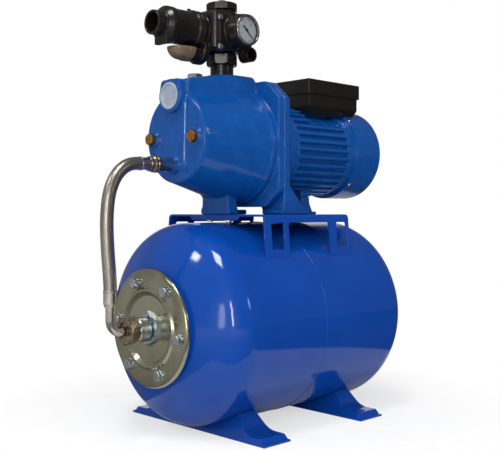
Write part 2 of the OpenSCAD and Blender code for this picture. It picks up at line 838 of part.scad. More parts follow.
module motor_housing() {
    pad_w = 27;
    ring = [50, 66];
    end = housing[1];
    color(casting_blue) difference() {
        union() {
            at(housing[0], pump_z) along_x() cylinder(r = root_r, h = end - housing[0]);
            difference() {
                fore_aft(housing[0], end, pump_z) fin_profile();
                translate([box_x[0] - 1 - middle, -52, pump_z + 40]) cube([80, 104, 40]);
            }
            // Seats for the terminal box above and the support below
            translate([284 - middle, -pad_w, pump_z + 40]) cube([46, 2 * pad_w, 34]);
            translate([267 - middle, -28, pump_z - 69]) cube([24, 56, 20]);
            turned([[ring[0], housing[0]], [ring[1], housing[0]], [ring[1], housing[0] + 6],
                [ring[0], housing[0] + 6]], pump_z);
            turned([[ring[0], end - 6], [ring[1], end - 6], [ring[1], end], [ring[0], end]], pump_z);
        }
        at(housing[0] - 1, pump_z) along_x() cylinder(r = 54.5, h = end - housing[0] + 2);
        at(305, pump_z + 50) cylinder(r = 6, h = 40);
    }
}

module rear_shield() {
    seat_r = cover_r - 1.5;
    x = housing[1];
    color(casting_blue) turned([
        [9, x - 1.5], [20, x - 1.5], [20, x], [66, x], [66, cover[0]], [seat_r, cover[0]],
        [seat_r, cover[0] + 8], [62, cover[0] + 8], [62, x + 7], [22, x + 7], [22, x + 14],
        [9, x + 14], [9, x + bearing_w], [race_r[3], x + bearing_w], [race_r[3], x], [9, x]], pump_z);
}

module cooling_fan() {
    color("#e6e4dc") at(365, pump_z) along_x() {
        tube(12, 6, 22);
        tube(46, 6, 2);
        for (i = [0:blade_count - 1])
            rotate([0, 0, i * 360 / blade_count]) translate([11, -1, 1]) cube([47, 2, 22]);
    }
}

// Slots of the fan cover's end: rings of arcs with ribs left between them
module grille_slots() {
    rib = 5;
    slot_w = 6;
    for (ring = [[22, 6], [34, 8], [46, 12]])
        difference() {
            circle(ring[0] + slot_w / 2);
            circle(ring[0] - slot_w / 2);
            for (i = [0:ring[1] - 1])
                rotate(i * 360 / ring[1]) translate([0, -rib / 2]) square([80, rib]);
        }
}

module fan_cover() {
    t = 1.5;
    r = cover_r;
    color(casting_blue) difference() {
        turned(rounded([
            [r - t, cover[0]], [r, cover[0]], [r, cover[1]], [0, cover[1]], [0, cover[1] - t], [r - t, cover[1] - t]],
            [0, 0.6, 9, 0, 0, 7.5]), pump_z);
        at(cover[1] - 5, pump_z) along_x() linear_extrude(10) grille_slots();
        for (angle = [45, 135, 225, 315])
            at(cover[0] + 4, pump_z) rotate([angle, 0, 0]) cylinder(r = 2.1, h = 90);
    }
}

module fan_cover_screws() {
    color(bright_steel) for (angle = [45, 135, 225, 315])
        at(cover[0] + 4, pump_z) rotate([angle, 0, 0]) {
            translate([0, 0, cover_r]) cylinder(r1 = 3.8, r2 = 2.8, h = 1.8);
            translate([0, 0, cover_r - 1.45]) cylinder(r = 2, h = 1.6);
        }
}

module motor_support() {
    top = pump_z - 69;
    z = bracket_z;
    color(casting_blue) difference() {
        fore_aft(270, 288) polygon(both_sides(rounded([
            [0, top], [27, top], [28.5, z + 16], [34, z + 4], [42, z + 4], [42, z],
            [14, z], [14, top - 7], [0, top - 7]],
            [0, 1, 6, 3, 1, 0, 1, 5, 0])));
        for (p = pump_studs)
            translate([p[0] - middle, p[1], z - 5]) cylinder(r = 4.05, h = 22);
    }
}

module terminal_box() {
    floor_z = pump_z + 74;
    skirt = 449;
    color(black_plastic) difference() {
        intersection() {
            fore_aft(box_x[0], box_x[1]) polygon(both_sides(rounded([
                [0, 484], [box_w, 484], [box_w, skirt + 14], [box_w - 8, skirt], [0, skirt]],
                [0, 2, 3, 2, 0])));
            athwart(-box_w, box_w) polygon(rounded([
                [box_x[0], 484], [box_x[1], 484], [box_x[1], skirt + 14], [box_x[1] - 7, skirt],
                [box_x[0] + 6, skirt], [box_x[0], skirt + 14]], [2, 2, 3, 2, 2, 3]));
        }
        at(240, pump_z) along_x() cylinder(r = tip_r + 0.3, h = 160, $fn = 96);
        at(350, pump_z) along_x() cylinder(r = cover_r + 0.7, h = 60, $fn = 96);
        translate([284 - middle, -27, pump_z + 30]) cube([46, 54, floor_z - pump_z - 30]);
        translate([268 - middle, -44, floor_z + 3]) cube([107, 88, 20]);
        at(305, floor_z - 5) cylinder(r = 6, h = 20);
        for (p = box_screws)
            translate([p[0] - middle, p[1], 470]) cylinder(r = 1.6, h = 20);
    }
    color(black_plastic) for (p = box_screws)
        translate([p[0] - middle, p[1], floor_z + 2]) tube(4, 1.6, lid_z[0] - floor_z - 2);
}

module terminal_lid() {
    x = [262 - middle, 384 - middle];
    w = 50;
    color(black_plastic) difference() {
        intersection() {
            translate([0, 0, lid_z[0]]) linear_extrude(lid_z[1] - lid_z[0])
                polygon(rounded([[x[0], -w], [x[1], -w], [x[1], w], [x[0], w]], 3));
            translate([x[0], 0, 0]) rotate([90, 0, 90]) linear_extrude(x[1] - x[0])
                polygon(rounded([[-w, 470], [w, 470], [w, lid_z[1]], [-w, lid_z[1]]], [0, 0, 1.5, 1.5]));
        }
        translate([263.8 - middle, -48.2, 480]) cube([115.4, 96.4, 4]);
        translate([267 - middle, -45, 480]) cube([109, 90, 21]);
        for (p = box_screws)
            translate([p[0] - middle, p[1], 480]) cylinder(r = 2, h = 30);
    }
    color(black_plastic) for (p = box_screws)
        translate([p[0] - middle, p[1], lid_z[0]]) tube(4, 2, 21);
}

module lid_screws() {
    color(bright_steel) for (p = box_screws)
        translate([p[0] - middle, p[1], lid_z[1]]) {
            cylinder(r1 = 3.6, r2 = 2.6, h = 1.6);
            translate([0, 0, -30]) cylinder(r = 1.55, h = 30.5);
        }
}

module run_capacitor() {
    color("#d9d6cc") at(300, pump_z + 88) along_x() {
        cylinder(r = 11, h = 60);
        for (y = [-4, 4])
            translate([0, y, 60]) cylinder(r = 1.2, h = 5);
    }
}

module discharge_nipple() {
    color(black_plastic) at(manifold_x, 484) tube(16.6, 12.5, nut_z[1] - 4 - 484);
}

module swivel_nut() {
    color(black_plastic) difference() {
        at(manifold_x, nut_z[1]) mirror([0, 0, 1]) rotate([0, 0, 22])
            hex_head(octagon, nut_z[1] - nut_z[0], 8);
        at(manifold_x, nut_z[0] - 1) cylinder(r = 16.6, h = nut_z[1] - nut_z[0] - 3);
        at(manifold_x, nut_z[0] - 1) cylinder(r = 15, h = 30);
    }
}

// Holder of the dome under the outlet: its top is cut level to pass the outlet
module dome_holder() {
    difference() {
        turned([[0, 60], [14.9, 60], [14.9, dome_x[1]], [18, dome_x[1]], [18, 80], [20.5, 81],
            [20.5, 90], [0, 90]], dome_z);
        at(50, dome_top - 0.4) translate([0, -30, 0]) cube([30.5, 60, 40]);
    }
}

module manifold_body() {
    x = manifold_x;
    y = front_y;
    color(black_plastic) difference() {
        union() {
            at(x) rotate_extrude() polygon(rounded([
                [0, body_z[0]], [18.5, body_z[0]], [24, 535], [24, 575], [19.5, 581],
                [19.5, body_z[1]], [0, body_z[1]]],
                [0, 1, 6, 5, 2, 1, 0]));
            intersection() {
                fore_aft(87, 156) polygon(rounded([[-y, 528], [30, 528], [30, 584], [-y, 584]],
                    [5, 8, 10, 10]));
                athwart(-40, 40) polygon(rounded([[87, 528], [156, 528], [156, 584], [87, 584]], 9));
                translate([-middle, 0, 520]) linear_extrude(80) polygon(rounded([
                    [87, -y], [156, -y], [156, 30], [87, 30]], 12));
            }
            at(x, gauge_z) gauge_side() rotate_extrude() polygon([
                [0, 14], [28, 14], [24.4, 40], [22.3, gauge_seat], [0, gauge_seat]]);
            // Neck that meets the outlet
            turned(rounded([[0, 74.3], [26.2, 74.3], [26.2, 80], [22.5, 81], [22.5, 96], [0, 96]],
                [0, 1, 1, 0, 0, 0]), outlet_z);
            // Cable stub under the body's rear corner
            at(gland_x, gland_z) gauge_side() translate([0, 0, gland_y[0]])
                cylinder(r = 10.4, h = gland_y[1] - gland_y[0]);
            translate([gland_x - 10 - middle, -32, gland_z]) cube([18, 32 - gland_y[0], 20]);
            dome_holder();
        }
        at(x, body_z[0] - 1) cylinder(r = 13, h = 58);
        at(x, 572) cylinder(r = 16, h = 30);
        at(70, outlet_z) along_x() cylinder(r = 15, h = x - 70);
        at(x, gauge_z) gauge_side() cylinder(r = 3, h = 45);
        at(x, gauge_z) gauge_side() translate([0, 0, 37]) cylinder(r = 19.5, h = 20);
        at(gland_x, gland_z) gauge_side() translate([0, 0, gland_y[0] + 3]) cylinder(r = 8, h = 30);
        at(59, dome_z) along_x() cylinder(r = 11, h = 24);
        for (p = manifold_screw_places)
            at(p[0], p[1]) gauge_side() translate([0, 0, y - 12]) cylinder(r = 1.95, h = 20);
    }
}

module manifold_screws() {
    color(bright_steel) for (p = manifold_screw_places)
        at(p[0], p[1]) gauge_side() translate([0, 0, front_y]) {
            cylinder(r1 = 4.4, r2 = 3.4, h = 2);
            translate([0, 0, -11]) cylinder(r = 1.9, h = 11.5);
        }
}

module top_plug() {
    color(black_plastic) at(manifold_x, body_z[1]) {
        rotate([0, 0, 22]) hex_head(octagon, 10, 8);
        translate([0, 0, 9]) cylinder(r = 5.5, h = 6);
        translate([0, 0, -14]) cylinder(r = 15.95, h = 15);
    }
}

module outlet_union() {
    z = outlet_z;
    color(black_plastic) difference() {
        union() {
            turned(rounded([[0, 3], [16.6, 3], [16.6, 24], [0, 24]], [0, 1.2, 0, 0]), z);
            // Collar that slopes in toward the thread, with a square tongue under it
            turned(rounded([[0, 17.5], [19.5, 17.5], [25, 24], [25, 34], [outlet_r, 36], [outlet_r, 68],
                [26.2, 68.5], [26.2, 74], [0, 74]], [0, 1, 2, 2, 0, 0, 0.5, 0.5, 0]), z);
            translate([17.5 - middle, -12.5, z - 27]) cube([8, 25, 20]);
            at(68, z + 20) cylinder(r = 2.5, h = 8);
        }
        turned([[0, 2], [13, 2], [13, 28], [19, 32], [19, 60], [12, 60], [12, 75], [0, 75]], z);
    }
}

module check_valve() {
    guide_r = 11.93;
    leg_t = 3;
    color("#d8d3c6") {
        turned(rounded([[0, 54.5], [15, 54.5], [15, 57], [14, 59.9], [0, 59.9]],
            [0, 0.5, 0.5, 0.5, 0]), outlet_z);
        turned([[0, 38], [2.5, 38], [2.5, 56], [0, 56]], outlet_z);
        at(59, outlet_z) along_x() intersection() {
            cylinder(r = guide_r, h = 11);
            for (turn = [0, 90])
                rotate(turn) translate([-15, -leg_t / 2, 0]) cube([30, leg_t, 11]);
        }
    }
}

// The gauge sits in the socket of the manifold: its parts face the gauge's side
module gauge_case() {
    color("#b8b6ae") at(manifold_x, gauge_z) gauge_side() rotate_extrude() polygon(rounded([
        [0, 38], [19.4, 38], [19.4, gauge_seat], [bezel_r, gauge_seat], [bezel_r, bezel_y],
        [dial_r, bezel_y], [dial_r, dial_y], [0.66, dial_y], [0.66, 46], [0, 46]],
        [0, 1, 0, 0.8, 1.2, 0.6, 0, 0, 0, 0]));
}

module gauge_needle() {
    length = 16;
    tail = 8.5;
    needle_turn = -42;
    color("#141414") at(manifold_x, gauge_z) gauge_side() translate([0, 0, dial_y]) {
        translate([0, 0, 0.6]) rotate([0, 0, needle_turn]) linear_extrude(0.6) polygon([
            [-tail, -1.3], [-tail, 1.3], [0, 1.1], [length, 0.3], [length, -0.3], [0, -1.1]]);
        translate([0, 0, 0.6]) cylinder(r = 2, h = 1.4);
        translate([0, 0, -3]) cylinder(r = 0.6, h = 4);
    }
}

module gauge_lens() {
    color("#dfe6ea", 0.35) at(manifold_x, gauge_z) gauge_side() translate([0, 0, dial_y + 3])
        cylinder(r = dial_r, h = 1.2);
}

module dome_form(r, top) {
    difference() {
        at(0, dome_z) along_x() rotate_extrude() intersection() {
            union() {
                translate([0, dome_x[0] + dome_r]) circle(r);
                translate([0, dome_x[0] + dome_r]) square([r, dome_x[1] - dome_x[0] - dome_r]);
                translate([0, 57]) square([r + 1, dome_x[1] - 57]);
            }
            square([40, dome_x[1]]);
        }
        at(0, top) translate([0, -40, 0]) cube([90, 80, 40]);
    }
}

module switch_dome() {
    skin = 2.5;
    color("#5a4636", 0.8) difference() {
        dome_form(dome_r, dome_top);
        dome_form(dome_r - skin, dome_top - skin);
        at(59, dome_z) along_x() cylinder(r = 15, h = 10);
    }
}

tank_front_shell();
tank_rear_shell();
tank_weld_bead();
tank_mouth_ring();
tank_bladder();
tank_flange();
flange_bolts();
air_valve();
air_valve_cap();
front_foot();
rear_foot();
pump_bracket();
tank_nipple();
elbow_nut();
hose_elbow();
lower_ferrule();
braided_hose();
upper_ferrule();
hose_nut();
pump_nipple();
pump_body();
suction_cap();
brass_plugs();
priming_plug();
ejector();
diffuser();
impeller();
shaft_seal();
motor_bracket();
flange_screws();
pump_foot_bolts();
pump_foot_nuts();
motor_shaft();
bearing_outer_races();
bearing_balls();
bearing_inner_races();
rotor_core();
stator_core();
stator_windings();
motor_housing();
rear_shield();
cooling_fan();
fan_cover();
fan_cover_screws();
motor_support();
terminal_box();
terminal_lid();
lid_screws();
run_capacitor();
discharge_nipple();
swivel_nut();
manifold_body();
top_plug();
outlet_union();
check_valve();
gauge_case();
gauge_needle();
gauge_lens();
switch_dome();
manifold_screws();
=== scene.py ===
import math

import bmesh
import bpy
from mathutils import Matrix, Vector


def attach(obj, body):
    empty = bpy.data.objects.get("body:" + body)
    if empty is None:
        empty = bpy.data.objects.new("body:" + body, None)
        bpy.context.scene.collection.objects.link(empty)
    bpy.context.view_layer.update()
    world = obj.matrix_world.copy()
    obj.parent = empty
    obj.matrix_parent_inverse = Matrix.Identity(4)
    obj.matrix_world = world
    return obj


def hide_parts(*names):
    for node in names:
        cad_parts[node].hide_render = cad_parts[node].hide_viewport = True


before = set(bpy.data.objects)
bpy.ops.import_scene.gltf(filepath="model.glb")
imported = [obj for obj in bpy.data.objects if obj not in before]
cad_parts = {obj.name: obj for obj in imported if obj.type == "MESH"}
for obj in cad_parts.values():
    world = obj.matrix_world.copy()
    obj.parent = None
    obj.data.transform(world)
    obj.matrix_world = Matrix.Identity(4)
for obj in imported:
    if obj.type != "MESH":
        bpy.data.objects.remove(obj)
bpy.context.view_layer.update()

# The set is a jet pump with its motor, on a lying pressure tank, with a hose between the two.
# Stations run along it from the face plane of the tank's flange, in millimetres. So are Y, Z
# and the sizes in the functions below, and place() turns them to the frame's metres.
MIDDLE = 201
TANK_Z = 148
TANK_RADIUS = 140.0
TANK_WALL = 2.0
FRONT_TIP, REAR_TIP = -6.0, 421.0
SEAM = 200.0
SET = "set"


def place(station, y, z):
    """A point given as station, Y and Z in millimetres, in the frame's metres."""
    return Vector(((station - MIDDLE) / 1000, y / 1000, z / 1000))


def around_tank(station, radius, turn):
    """A point at a radius from the tank's axis and an angle about it."""
    return place(station, radius * math.cos(turn), TANK_Z + radius * math.sin(turn))


def add_object(name, data):
    """A new object in the scene, around a mesh, a text, a light or a camera."""
    item = bpy.data.objects.new(name, data)
    bpy.context.scene.collection.objects.link(item)
    return item


# Camera

def add_camera():
    """Stands at the front left of the set, a little above the tank, and looks across it. Its
    place, turn and focal length are solved from the photo."""
    lens = bpy.data.cameras.new("camera")
    lens.sensor_width = 36
    lens.lens = 61.02
    lens.clip_start = 0.01
    camera = add_object("camera", lens)
    yaw, pitch = math.radians(45.495), math.radians(-0.964)
    aim = Vector((math.cos(pitch) * math.cos(yaw), math.cos(pitch) * math.sin(yaw),
                  math.sin(pitch)))
    camera.location = place(-695.3, -897.2, 304.7)
    camera.rotation_euler = aim.to_track_quat("-Z", "Y").to_euler()
    bpy.context.scene.camera = camera


# Mesh helpers

def show(name, mesh, material, replaces=()):
    """Puts a finished mesh in the scene, on the set's body and in its nodes' place."""
    piece = add_object(name, mesh)
    mesh.materials.clear()
    mesh.materials.append(material)
    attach(piece, SET)
    if replaces:
        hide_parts(*replaces)
    return piece


def smooth_faces(mesh, angle):
    """Soft shading, with edges kept where the surface turns by more than the angle."""
    mesh.polygons.foreach_set("use_smooth", [True] * len(mesh.polygons))
    mesh.set_sharp_from_angle(angle=math.radians(angle))


def worked_out(holder, name):
    """The mesh that a modified object or a text gives. The object itself goes."""
    seen = holder.evaluated_get(bpy.context.evaluated_depsgraph_get())
    mesh = bpy.data.meshes.new_from_object(seen)
    mesh.name = name
    bpy.data.objects.remove(holder)
    return mesh


def applied(name, mesh, *modifiers):
    """The mesh with modifiers worked in: each is a kind and its settings."""
    holder = add_object(name + "_work", mesh)
    for kind, settings in modifiers:
        modifier = holder.modifiers.new(kind.lower(), kind)
        for key, value in settings.items():
            setattr(modifier, key, value)
    return worked_out(holder, name)


def to_mesh(name, work, outward=True):
    """Ends mesh work as a mesh, and turns its faces outward where they don't all lie right."""
    if outward:
        bmesh.ops.recalc_face_normals(work, faces=work.faces)
    mesh = bpy.data.meshes.new(name)
    work.to_mesh(mesh)
    work.free()
    return mesh


def join_rings(work, rings, closed=True):
    """Faces from each ring of points to the next, and from the last to the first where the
    rings close up."""
    following = rings[1:] + rings[:1] if closed else rings[1:]
    for here, there in zip(rings, following):
        for i in range(len(here)):
            j = (i + 1) % len(here)
            work.faces.new([here[i], here[j], there[j], there[i]])


def solid_copy(node):
    """A welded copy of a CAD solid's mesh, with flat faces made whole again."""
    work = bmesh.new()
    work.from_mesh(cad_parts[node].data)
    bmesh.ops.remove_doubles(work, verts=work.verts, dist=2e-6)
    bmesh.ops.dissolve_limit(work, angle_limit=math.radians(0.3), verts=work.verts,
                             edges=work.edges)
    points = [vertex.co[:] for vertex in work.verts]
    work.verts.index_update()
    faces = [[corner.index for corner in face.verts] for face in work.faces]
    work.free()
    mesh = bpy.data.meshes.new(node + "_copy")
    mesh.from_pydata(points, [], faces)
    return mesh


def eased(node, material, edge_mm):
    """Shows a CAD solid with its sharp edges broken by a small radius, or left as they are at
    0, and with flat faces that shade flat."""
    name = node + "_finished"
    mesh = solid_copy(node)
    if edge_mm:
        mesh = applied(name, mesh, ("BEVEL", {
            "width": edge_mm / 1000, "segments": 3, "limit_method": "ANGLE",
            "angle_limit": math.radians(32), "use_clamp_overlap": False, "loop_slide": True}))
    smooth_faces(mesh, 28)
    mesh = applied(name, mesh, ("WEIGHTED_NORMAL", {"keep_sharp": True}))
    show(name, mesh, material, [node])


def cast(node, material, voxel_mm, passes, keep=0.5):
    """Shows a CAD solid as a casting: every edge and inside corner gets a soft fillet, wider
    with coarser voxels and more smoothing passes. Keep is the share of the faces that stays."""
    name = node + "_finished"
    mesh = applied(name, solid_copy(node),
                   ("REMESH", {"mode": "VOXEL", "voxel_size": voxel_mm / 1000}),
                   ("SMOOTH", {"factor": 0.5, "iterations": passes}),
                   ("DECIMATE", {"ratio": keep}))
    smooth_faces(mesh, 60)
    show(name, mesh, material, [node])


def corner_arc(before, corner, after, radius, steps):
    """Points of one rounded corner of an outline."""
    if radius == 0:
        return [corner]
    u = (Vector(before) - Vector(corner)).normalized()
    v = (Vector(after) - Vector(corner)).normalized()
    half = u.angle(v) / 2
    centre = Vector(corner) + (u + v).normalized() * radius / math.sin(half)
    start = Vector(corner) + u * radius / math.tan(half) - centre
    end = Vector(corner) + v * radius / math.tan(half) - centre
    a = math.atan2(start.y, start.x)
    sweep = (math.atan2(end.y, end.x) - a + 3 * math.pi) % (2 * math.pi) - math.pi
    return [(centre.x + radius * math.cos(a + sweep * i / steps),
             centre.y + radius * math.sin(a + sweep * i / steps)) for i in range(steps + 1)]


def rounded(corners, steps):
    """A closed outline from corners: each is two coordinates and the radius that rounds it."""
    points = [(x, y) for x, y, _ in corners]
    out = []
    for i, (_, _, radius) in enumerate(corners):
        out += corner_arc(points[i - 1], points[i], points[(i + 1) % len(points)], radius, steps)
    return out


def revolved(name, outline, around=256):
    """A closed outline of [radius, station] turned about the tank's axis."""
    work = bmesh.new()
    rings = []
    for k in range(around):
        turn = 2 * math.pi * k / around
        rings.append([work.verts.new(around_tank(x, r, turn)) for r, x in outline])
    join_rings(work, rings)
    bmesh.ops.remove_doubles(work, verts=work.verts, dist=1e-6)
    mesh = to_mesh(name, work)
    smooth_faces(mesh, 25)
    return mesh


# Materials

# The Mix node's sockets share their names between kinds, so they are taken by number.
VALUE_A, VALUE_B, MIXED_VALUE = 2, 3, 0
COLOUR_A, COLOUR_B, MIXED_COLOUR = 6, 7, 2


def linear(colour):
    """The linear values of an sRGB hex colour."""
    values = [int(colour[i:i + 2], 16) / 255 for i in (1, 3, 5)]
    return [v / 12.92 if v <= 0.04045 else ((v + 0.055) / 1.055) ** 2.4 for v in values] + [1.0]


def add_node(tree, kind, inputs=None, **settings):
    """Adds a node: settings are its properties, inputs are values or sockets to link."""
    node = tree.nodes.new("ShaderNode" + kind)
    for key, value in settings.items():
        setattr(node, key, value)
    for key, value in (inputs or {}).items():
        if isinstance(value, bpy.types.NodeSocket):
            tree.links.new(value, node.inputs[key])
        else:
            node.inputs[key].default_value = value
    return node


def start_material(name):
    """An empty material with object coordinates in metres."""
    material = bpy.data.materials.new(name)
    material.use_nodes = True
    tree = material.node_tree
    tree.nodes.clear()
    where = add_node(tree, "TexCoord").outputs["Object"]
    return material, tree, where


def end_material(tree, shader):
    """Makes a shader the material's surface."""
    add_node(tree, "OutputMaterial", {"Surface": shader.outputs[0]})


def ramp_stops(node, stops):
    """Sets a colour ramp's stops from position and sRGB hex colour."""
    ramp = node.color_ramp
    while len(ramp.elements) < len(stops):
        ramp.elements.new(0.5)
    for element, (position, colour) in zip(ramp.elements, stops):
        element.position = position
        element.color = linear(colour)


def powder_coat():
    """Glossy powder coat on drawn steel: wet looking, with a faint orange peel 4 mm across and
    a drift of the blue over a hand's width."""
    material, tree, where = start_material("glossy_blue_powder_coat")
    peel_mm, cloud_mm = 3.846, 111.1
    peel = add_node(tree, "TexNoise", {"Vector": where, "Scale": 1000 / peel_mm, "Detail": 1.5})
    bump = add_node(tree, "Bump", {
        "Height": peel.outputs["Fac"], "Strength": 0.35, "Distance": 0.00008})
    cloud = add_node(tree, "TexNoise", {"Vector": where, "Scale": 1000 / cloud_mm, "Detail": 3.0})
    tint = add_node(tree, "ValToRGB", {"Fac": cloud.outputs["Fac"]})
    ramp_stops(tint, [(0.3, "#053D94"), (0.7, "#09439C")])
    shader = add_node(tree, "BsdfPrincipled", {
        "Base Color": tint.outputs["Color"], "Normal": bump.outputs["Normal"],
        "Roughness": 0.09, "IOR": 1.5})
    end_material(tree, shader)
    return material


def casting_enamel():
    """Sprayed enamel over sand cast iron: glossy, with the sand's grain swelling through it. The
    grains are about 0.5 mm on the real casting and drawn at 2.4 mm to show, on slow swells."""
    material, tree, where = start_material("royal_blue_enamel_on_cast_iron")
    grain_mm, swell_mm = 2.381, 14.29
    grain = add_node(tree, "TexNoise", {"Vector": where, "Scale": 1000 / grain_mm, "Detail": 3.0})
    swell = add_node(tree, "TexNoise", {"Vector": where, "Scale": 1000 / swell_mm, "Detail": 2.0})
    low = add_node(tree, "Bump", {
        "Height": swell.outputs["Fac"], "Strength": 0.5, "Distance": 0.0004})
    high = add_node(tree, "Bump", {
        "Height": grain.outputs["Fac"], "Strength": 0.4, "Distance": 0.0003,
        "Normal": low.outputs["Normal"]})
    tint = add_node(tree, "ValToRGB", {"Fac": swell.outputs["Fac"]})
    ramp_stops(tint, [(0.35, "#08458C"), (0.7, "#0B4C96")])
    shader = add_node(tree, "BsdfPrincipled", {
        "Base Color": tint.outputs["Color"], "Normal": high.outputs["Normal"],
        "Roughness": 0.09, "IOR": 1.5})
    end_material(tree, shader)
    return material


def moulded_plastic(name, dark, light, roughness):
    """Injection moulded plastic: an even satin skin with a fine spark eroded grain, and a faint
    drift of its tint along the flow of the melt. The real grain is about 0.1 mm and is drawn at
    0.6 mm to show."""
    material, tree, where = start_material(name)
    grain_mm, flow_mm = 0.6, 25
    grain = add_node(tree, "TexNoise", {"Vector": where, "Scale": 1000 / grain_mm, "Detail": 2.0})
    flow = add_node(tree, "TexNoise", {"Vector": where, "Scale": 1000 / flow_mm, "Detail": 3.0})
    bump = add_node(tree, "Bump", {
        "Height": grain.outputs["Fac"], "Strength": 0.25, "Distance": 0.00006})
    tint = add_node(tree, "ValToRGB", {"Fac": flow.outputs["Fac"]})
    ramp_stops(tint, [(0.35, dark), (0.7, light)])
    shader = add_node(tree, "BsdfPrincipled", {
        "Base Color": tint.outputs["Color"], "Normal": bump.outputs["Normal"],
        "Roughness": roughness, "IOR": 1.49})
    end_material(tree, shader)
    return material


def plated_metal(name, dark, light, roughness, patch_mm=20.0, grain_mm=0.8):
    """Plated or bare metal: its tint drifts in patches, duller where it is lighter, and a fine
    grain blurs its mirror, drawn coarser than the real one to show."""
    material, tree, where = start_material(name)
    patch = add_node(tree, "TexNoise", {"Vector": where, "Scale": 1000 / patch_mm, "Detail": 3.0})
    grain = add_node(tree, "TexNoise", {"Vector": where, "Scale": 1000 / grain_mm, "Detail": 2.0})
    tint = add_node(tree, "ValToRGB", {"Fac": patch.outputs["Fac"]})
    ramp_stops(tint, [(0.35, dark), (0.68, light)])
    worn = add_node(tree, "MapRange", {
        "Value": patch.outputs["Fac"], "From Min": 0.3, "From Max": 0.7,
        "To Min": roughness * 0.75, "To Max": roughness * 1.3})
    bump = add_node(tree, "Bump", {
        "Height": grain.outputs["Fac"], "Strength": 0.2, "Distance": 0.00004})
    shader = add_node(tree, "BsdfPrincipled", {
        "Base Color": tint.outputs["Color"], "Normal": bump.outputs["Normal"], "Metallic": 1.0,
        "Roughness": worn.outputs["Result"]})
    end_material(tree, shader)
    return material


def clear_window():
    """Clear gauge window: lets the dial through and keeps a thin surface reflection."""
    material, tree, _ = start_material("clear_gauge_window")
    through = add_node(tree, "BsdfTransparent", {"Color": linear("#F4F6F8")})
    gloss = add_node(tree, "BsdfGlossy", {"Color": (1, 1, 1, 1), "Roughness": 0.04})
    edge = add_node(tree, "Fresnel", {"IOR": 1.35})
    shader = add_node(tree, "MixShader", {
        "Fac": edge.outputs["Fac"], 1: through.outputs["BSDF"], 2: gloss.outputs["BSDF"]})
    end_material(tree, shader)
    return material


def wire_braid():
    """Stainless wire braid: flat bundles of four wires cross at 45 degrees, over and under in turn,
    with painted shade in the gaps between them, a painted highlight on their crowns, and a warm
    film that thickens in patches 17 mm across. The wires are 0.3 mm on the real hose and drawn 0.8
    mm wide to show."""
    material, tree, where = start_material("stainless_wire_braid")
    wires, wire_height, patch_mm = 4, 0.25, 16.67
    unrolled = add_node(tree, "UVMap", uv_map="hose")
    split = add_node(tree, "SeparateXYZ", {"Vector": unrolled.outputs["UV"]})
    # For the bundles that run each way: which one it is, its wires and its arched top
    cells, strands, arches = [], [], []
    for way in ("ADD", "SUBTRACT"):
        across = add_node(tree, "Math", {0: split.outputs["X"], 1: split.outputs["Y"]},
                          operation=way).outputs[0]
        cells.append(add_node(tree, "Math", {0: across}, operation="FLOOR").outputs[0])
        wave = add_node(tree, "Math", {0: across, 1: 2 * math.pi * wires}, operation="MULTIPLY")
        strands.append(add_node(tree, "Math", {0: wave.outputs[0]}, operation="COSINE").outputs[0])
        half_wave = add_node(tree, "Math", {0: across, 1: math.pi}, operation="MULTIPLY")
        arch = add_node(tree, "Math", {0: half_wave.outputs[0]}, operation="SINE")
        arches.append(add_node(tree, "Math", {0: arch.outputs[0]}, operation="ABSOLUTE").outputs[0])
    total = add_node(tree, "Math", {0: cells[0], 1: cells[1]}, operation="ADD")
    over = add_node(tree, "Math", {0: total.outputs[0], 1: 2.0}, operation="FLOORED_MODULO")
    strand = add_node(tree, "Mix", {
        "Factor": over.outputs[0], VALUE_A: strands[0], VALUE_B: strands[1]}, data_type="FLOAT")
    arch = add_node(tree, "Mix", {
        "Factor": over.outputs[0], VALUE_A: arches[1], VALUE_B: arches[0]}, data_type="FLOAT")
    height = add_node(tree, "Math", {
        0: strand.outputs[MIXED_VALUE], 1: wire_height, 2: arch.outputs[MIXED_VALUE]},
        operation="MULTIPLY_ADD")
    # Colour from the wires' height: painted shade low in the gaps, and a painted highlight toward
    # the crowns
    shade = add_node(tree, "MapRange", {
        "Value": height.outputs[0], "From Min": 0.0, "From Max": 1.1})
    tint = add_node(tree, "ValToRGB", {"Fac": shade.outputs["Result"]})
    ramp_stops(tint, [(0.0, "#393431"), (0.5, "#BFB8B1"), (1.0, "#F6F4F1")])
    patch = add_node(tree, "TexNoise", {"Vector": where, "Scale": 1000 / patch_mm, "Detail": 2.0})
    film = add_node(tree, "Mix", {
        "Factor": patch.outputs["Fac"], COLOUR_A: tint.outputs["Color"],
        COLOUR_B: linear("#A89A8A")}, data_type="RGBA")
    bump = add_node(tree, "Bump", {
        "Height": height.outputs[0], "Strength": 0.45, "Distance": 0.00012})
    shader = add_node(tree, "BsdfPrincipled", {
        "Base Color": film.outputs[MIXED_COLOUR], "Normal": bump.outputs["Normal"],
        "Metallic": 1.0, "Roughness": 0.3})
    end_material(tree, shader)
    return material


# Pieces of the tank

def head_curve(radius_from, steps=40):
    """Radius and depth of the tank's dished end, from a radius outward to the straight wall: a
    crown of 0.8 diameters, and a knuckle of 0.154 diameters that turns it into the wall."""
    diameter = 2 * TANK_RADIUS
    crown, knuckle = 0.8 * diameter, 0.154 * diameter
    depth = crown - math.sqrt((crown - knuckle) ** 2 - (diameter / 2 - knuckle) ** 2)
    toward = Vector((diameter / 2 - knuckle, depth - crown)).normalized()
    meet = toward.x * crown
    points = []
    for i in range(steps):
        r = radius_from + (meet - radius_from) * i / steps
        points.append((r, crown - math.sqrt(crown * crown - r * r)))
    start = math.atan2(toward.y, toward.x)
    for i in range(steps + 1):
        turn = start * (1 - i / steps)
        points.append((diameter / 2 - knuckle + knuckle * math.cos(turn),
                       depth + knuckle * math.sin(turn)))
    return points


